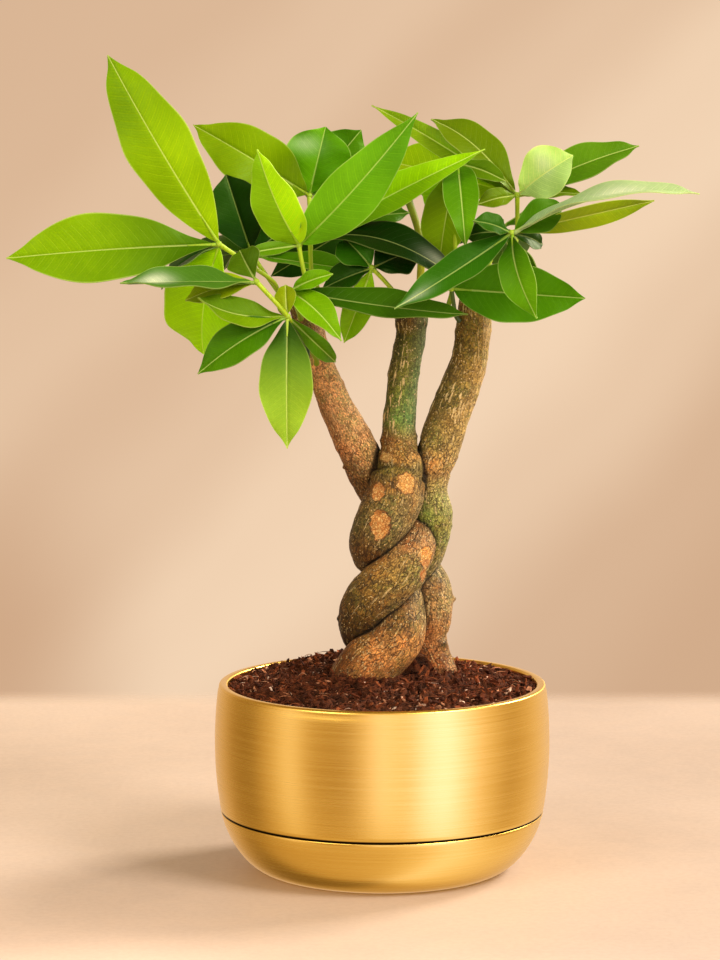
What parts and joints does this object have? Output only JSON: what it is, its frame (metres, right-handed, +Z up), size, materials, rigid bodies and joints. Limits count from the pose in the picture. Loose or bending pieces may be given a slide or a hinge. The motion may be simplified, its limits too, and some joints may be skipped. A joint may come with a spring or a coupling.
{
  "type": "potted money tree",
  "caption": "Small braided money tree with palmate green leaves, planted in coir in a round two-part pot of brushed gold metal.",
  "frame": {"origin": "centre of the flat foot of the pot, on the surface that it stands on", "axes": "+Z up along the pot's axis, +X to the picture's right, +Y to its back"},
  "size_m": [0.3172, 0.1881, 0.3873],
  "materials": {
    "brushed_gold": "satin, brushed round the pot",
    "coir": "loose fibres and chunks, matt",
    "bark": "living bark, olive and brown with tan scars",
    "leaf_light": "soft gloss, yellow-green",
    "leaf_green": "soft gloss, mid green",
    "leaf_dark": "gloss, dark green"
  },
  "bodies": {
    "root": {"pot_base": "brushed_gold", "pot_body": "brushed_gold", "soil": "coir", "trunk_left": "bark", "trunk_middle": "bark", "trunk_right": "bark", "leaf_left_outer": "leaf_light", "leaf_left_front": "leaf_light", "leaf_left_inner": "leaf_green", "leaf_left_upright": "leaf_light", "leaf_left_crossing": "leaf_green", "leaf_left_back": "leaf_green", "leaf_left_dark": "leaf_dark", "leaf_middle_front": "leaf_dark", "shoot_middle": "leaf_dark", "leaf_right_front": "leaf_green", "leaf_right_low": "leaf_green", "leaf_right_top": "leaf_green", "leaf_right_inner": "leaf_green", "leaf_right_back": "leaf_dark"}
  },
  "joints": []
}
